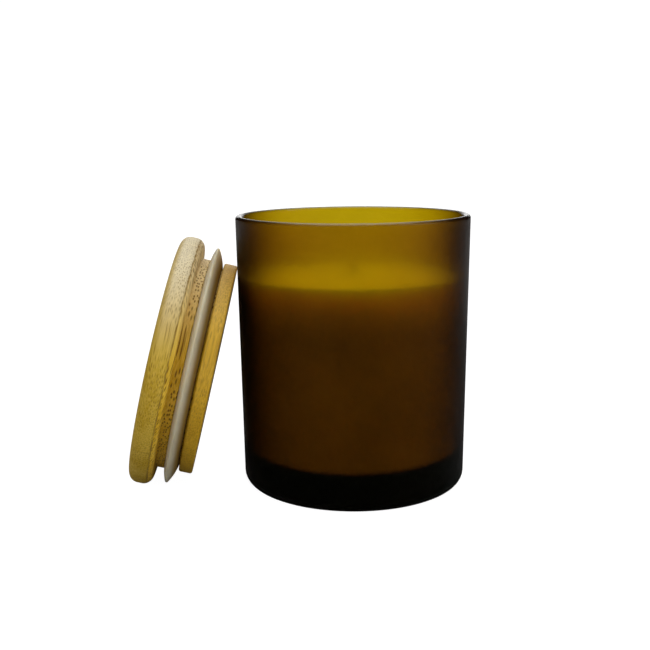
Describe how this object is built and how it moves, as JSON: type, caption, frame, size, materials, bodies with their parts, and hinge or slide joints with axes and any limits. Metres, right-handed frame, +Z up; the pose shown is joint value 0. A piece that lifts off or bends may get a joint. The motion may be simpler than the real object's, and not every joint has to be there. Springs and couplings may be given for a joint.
{
  "type": "candle jar",
  "caption": "Frosted amber glass candle jar filled with wax, with a round bamboo plug lid and its silicone seal leaning on its side.",
  "frame": {"origin": "centre of the jar's flat underside, on the table", "axes": "+Z up along the jar's axis; the lid leans on the jar's -X side; -Y faces the front"},
  "size_m": [0.1194, 0.0877, 0.0935],
  "materials": {
    "frosted_amber_glass": "satin etched outside, smooth inside",
    "wax": "satin wax",
    "cotton": "waxed braided cotton",
    "tin_plate": "pressed tin plate",
    "foam_tape": "double-sided foam tape",
    "bamboo": "sanded and oiled bamboo with dark pores",
    "silicone": "translucent grey-white silicone"
  },
  "bodies": {
    "jar": {"glass_jar": "frosted_amber_glass", "wax_fill": "wax", "wick": "cotton", "wick_sustainer": "tin_plate", "wick_sticker": "foam_tape"},
    "lid": {"lid_top_strip_1": "bamboo", "lid_top_strip_2": "bamboo", "lid_top_strip_3": "bamboo", "lid_top_strip_4": "bamboo", "lid_top_strip_5": "bamboo", "lid_plug_strip_1": "bamboo", "lid_plug_strip_2": "bamboo", "lid_plug_strip_3": "bamboo", "lid_plug_strip_4": "bamboo", "lid_disc_strip_1": "bamboo", "lid_disc_strip_2": "bamboo", "lid_disc_strip_3": "bamboo", "lid_disc_strip_4": "bamboo"},
    "seal": {"lid_seal": "silicone"}
  },
  "joints": [
    {"name": "lid_lift", "type": "slide", "parent": "jar", "child": "lid", "axis": [-0.1392, 0, 0.9903], "range_m": [0, 0.11]},
    {"name": "seal_spin", "type": "hinge", "parent": "lid", "child": "seal", "pos_m": [-0.06916, -0.00025, 0.0439], "axis": [-0.9683, -0.0762, 0.2379], "continuous": true}
  ]
}
